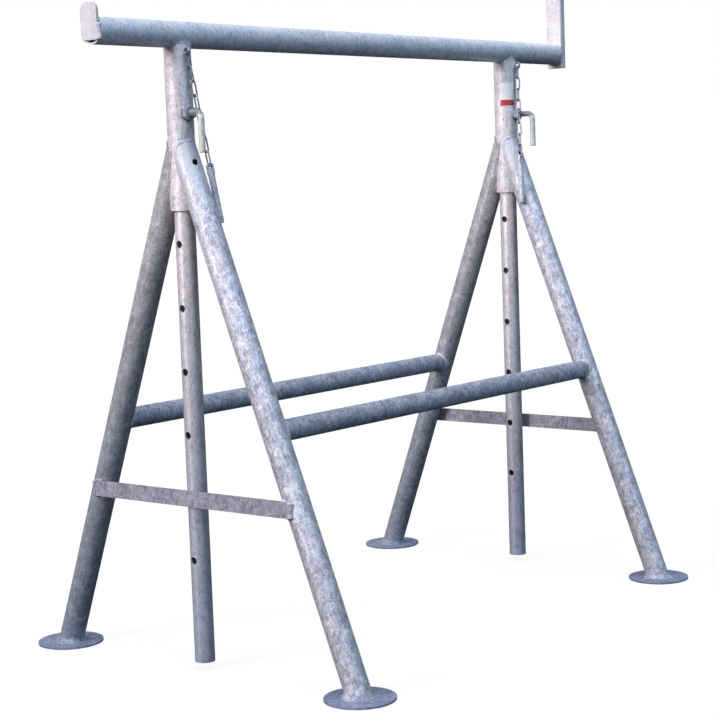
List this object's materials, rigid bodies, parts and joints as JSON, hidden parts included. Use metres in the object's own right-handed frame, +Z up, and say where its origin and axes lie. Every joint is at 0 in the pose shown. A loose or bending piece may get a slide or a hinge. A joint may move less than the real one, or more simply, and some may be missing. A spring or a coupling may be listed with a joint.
{
  "type": "builders trestle",
  "caption": "Height-adjustable galvanised steel builders trestle: splayed tube legs on disc feet carry sleeved posts with pin holes under a round top bar with end stops.",
  "frame": {"origin": "on the ground, under the middle of the overall length and midway between front and back feet", "axes": "+X along the top bar from the stop plate to the guard post, +Y from the front legs to the back legs, +Z up"},
  "size_m": [1.514, 0.875, 1.524],
  "materials": {
    "galvanised_tube": "hot-dip galvanised, mottled satin",
    "galvanised_flat": "hot-dip galvanised, mottled satin",
    "zinc_rod": "zinc plated, satin",
    "zinc_chain": "zinc plated, bright"
  },
  "bodies": {
    "base_frame": {"sleeve_left": "galvanised_tube", "sleeve_right": "galvanised_tube", "leg_front_left": "galvanised_tube", "leg_back_left": "galvanised_tube", "leg_front_right": "galvanised_tube", "leg_back_right": "galvanised_tube", "foot_front_left": "galvanised_flat", "foot_back_left": "galvanised_flat", "foot_front_right": "galvanised_flat", "foot_back_right": "galvanised_flat", "rail_front": "galvanised_tube", "rail_back": "galvanised_tube", "brace_left": "galvanised_flat", "brace_right": "galvanised_flat", "clamp_nut_left": "galvanised_flat", "clamp_nut_right": "galvanised_flat", "chain_eye_left": "galvanised_flat", "chain_eye_right": "galvanised_flat"},
    "head": {"top_bar": "galvanised_tube", "post_left": "galvanised_tube", "post_right": "galvanised_tube", "stop_plate": "galvanised_flat", "guard_post": "galvanised_tube"},
    "clamp_left": {"clamp_screw_left": "zinc_rod"},
    "clamp_right": {"clamp_screw_right": "zinc_rod"},
    "chain_left": {"chain_left": "zinc_chain"},
    "chain_right": {"chain_right": "zinc_chain"},
    "pin_left": {"locking_pin_left": "zinc_rod"},
    "pin_right": {"locking_pin_right": "zinc_rod"}
  },
  "joints": [
    {"name": "head_slide", "type": "slide", "parent": "base_frame", "child": "head", "axis": [0, 0, 1], "range_m": [0, 0.951]},
    {"name": "clamp_left_turn", "type": "hinge", "parent": "base_frame", "child": "clamp_left", "pos_m": [-0.54963, -0.03927, 1.038], "axis": [-0.1908, -0.9816, 0], "continuous": true},
    {"name": "clamp_right_turn", "type": "hinge", "parent": "base_frame", "child": "clamp_right", "pos_m": [0.53163, -0.03927, 1.038], "axis": [0.1908, -0.9816, 0], "continuous": true},
    {"name": "chain_left_swing", "type": "hinge", "parent": "base_frame", "child": "chain_left", "pos_m": [-0.54782, -0.02994, 1.142], "axis": [-0.1903, -0.9792, 0.0698], "range_deg": [0, 45]},
    {"name": "chain_right_swing", "type": "hinge", "parent": "base_frame", "child": "chain_right", "pos_m": [0.52982, -0.02994, 1.142], "axis": [-0.1903, 0.9792, -0.0698], "range_deg": [0, 45]},
    {"name": "pin_left_swing", "type": "hinge", "parent": "chain_left", "child": "pin_left", "pos_m": [-0.52187, -0.04936, 0.94019], "axis": [-0.1903, -0.9792, 0.0698], "range_deg": [0, 40]},
    {"name": "pin_right_swing", "type": "hinge", "parent": "chain_right", "child": "pin_right", "pos_m": [0.50387, -0.04936, 0.94019], "axis": [-0.1903, 0.9792, -0.0698], "range_deg": [0, 40]}
  ]
}
